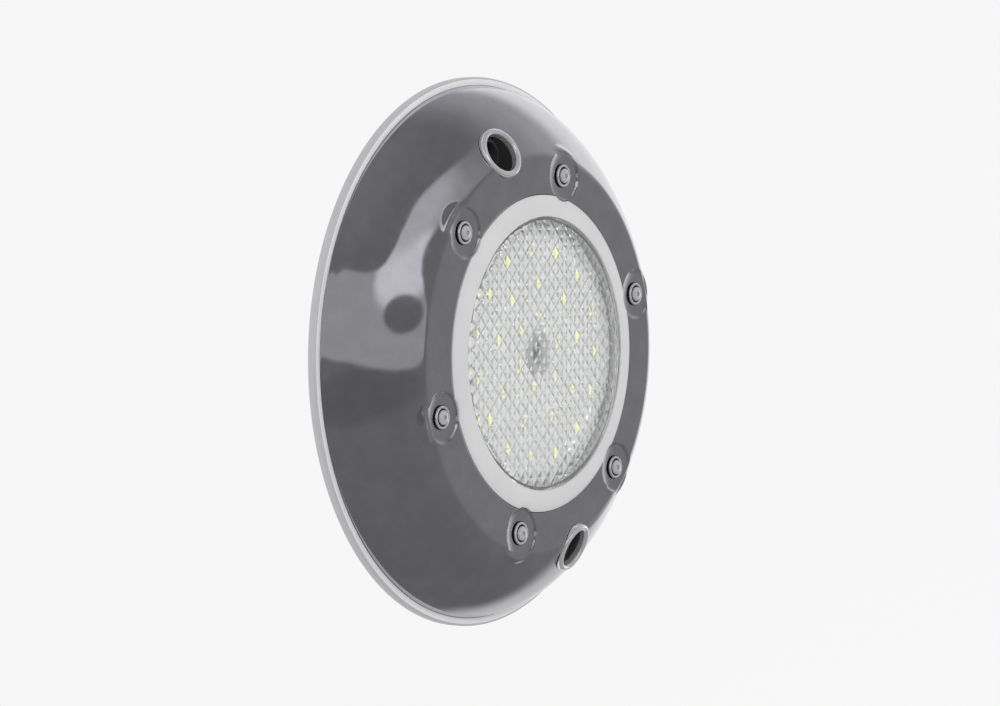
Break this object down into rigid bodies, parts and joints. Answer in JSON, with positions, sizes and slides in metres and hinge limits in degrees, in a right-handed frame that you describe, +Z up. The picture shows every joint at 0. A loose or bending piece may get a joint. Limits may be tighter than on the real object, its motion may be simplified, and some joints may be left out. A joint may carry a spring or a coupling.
{
  "type": "underwater pool light",
  "caption": "Round surface-mounted underwater pool light with a polished dished steel cover, a clamped prismatic lamp and a wall bracket.",
  "frame": {"origin": "on the light's axis in the wall plane, at the centre of the bracket's back face", "axes": "+Y into the wall along the light's axis, so the light shines towards -Y; +Z up through the upper port"},
  "size_m": [0.29, 0.0472, 0.29],
  "materials": {
    "cover_steel": "mirror-polished stainless steel",
    "chrome": "bright chrome",
    "screw_steel": "plain stainless steel",
    "bracket_steel": "cut stainless sheet",
    "white_plastic": "satin white moulding",
    "clear_plastic": "clear polycarbonate with prisms",
    "black_rubber": "matte",
    "black_plastic": "capacitor sleeve",
    "grey_plastic": "moulded nylon",
    "aluminium": "cast and machined",
    "board_white": "white solder mask on aluminium",
    "board_green": "green solder mask",
    "coil_copper": "enamelled copper wire"
  },
  "bodies": {
    "wall_side": {"wall_bracket": "bracket_steel", "bracket_post_top": "bracket_steel", "bracket_post_bottom": "bracket_steel"},
    "light_unit": {"face_cover": "cover_steel", "clamp_ring": "bracket_steel", "cover_gasket": "black_rubber", "lamp_bezel": "white_plastic", "lamp_lens": "clear_plastic", "lens_seal": "black_rubber", "lamp_shell": "white_plastic", "heat_sink": "aluminium", "led_board": "board_white", "driver_board": "board_green", "driver_capacitor": "black_plastic", "driver_coil": "coil_copper", "terminal_block": "grey_plastic", "gland_body": "grey_plastic", "gland_seal": "black_rubber", "gland_nut": "grey_plastic", "port_eyelet_top": "chrome", "screw_well_top": "screw_steel", "port_eyelet_bottom": "chrome", "screw_well_bottom": "screw_steel", "clamp_screw_1": "screw_steel", "clamp_washer_1": "black_rubber", "clamp_nut_1": "screw_steel", "clamp_screw_2": "screw_steel", "clamp_washer_2": "black_rubber", "clamp_nut_2": "screw_steel", "clamp_screw_3": "screw_steel", "clamp_washer_3": "black_rubber", "clamp_nut_3": "screw_steel", "clamp_screw_4": "screw_steel", "clamp_washer_4": "black_rubber", "clamp_nut_4": "screw_steel", "clamp_screw_5": "screw_steel", "clamp_washer_5": "black_rubber", "clamp_nut_5": "screw_steel", "clamp_screw_6": "screw_steel", "clamp_washer_6": "black_rubber", "clamp_nut_6": "screw_steel"},
    "screw_carrier_top": {"retaining_washer_top": "screw_steel"},
    "fixing_screw_top": {"fixing_screw_top": "screw_steel"},
    "screw_carrier_bottom": {"retaining_washer_bottom": "screw_steel"},
    "fixing_screw_bottom": {"fixing_screw_bottom": "screw_steel"}
  },
  "joints": [
    {"name": "unit_release", "type": "slide", "parent": "wall_side", "child": "light_unit", "axis": [0, -1, 0], "range_m": [0, 0.06]},
    {"name": "screw_travel_top", "type": "slide", "parent": "light_unit", "child": "screw_carrier_top", "axis": [0, -1, 0], "range_m": [0, 0.008]},
    {"name": "screw_turn_top", "type": "hinge", "parent": "screw_carrier_top", "child": "fixing_screw_top", "pos_m": [0, -0.024, 0.1075], "axis": [0, -1, 0], "range_deg": [0, 3610]},
    {"name": "screw_travel_bottom", "type": "slide", "parent": "light_unit", "child": "screw_carrier_bottom", "axis": [0, -1, 0], "range_m": [0, 0.008]},
    {"name": "screw_turn_bottom", "type": "hinge", "parent": "screw_carrier_bottom", "child": "fixing_screw_bottom", "pos_m": [0, -0.024, -0.1075], "axis": [0, -1, 0], "range_deg": [0, 3610]}
  ],
  "couplings": [
    {"joint": "screw_turn_top", "follows": "screw_travel_top", "rad_per_m": 7854},
    {"joint": "screw_turn_bottom", "follows": "screw_travel_bottom", "rad_per_m": 7854}
  ]
}
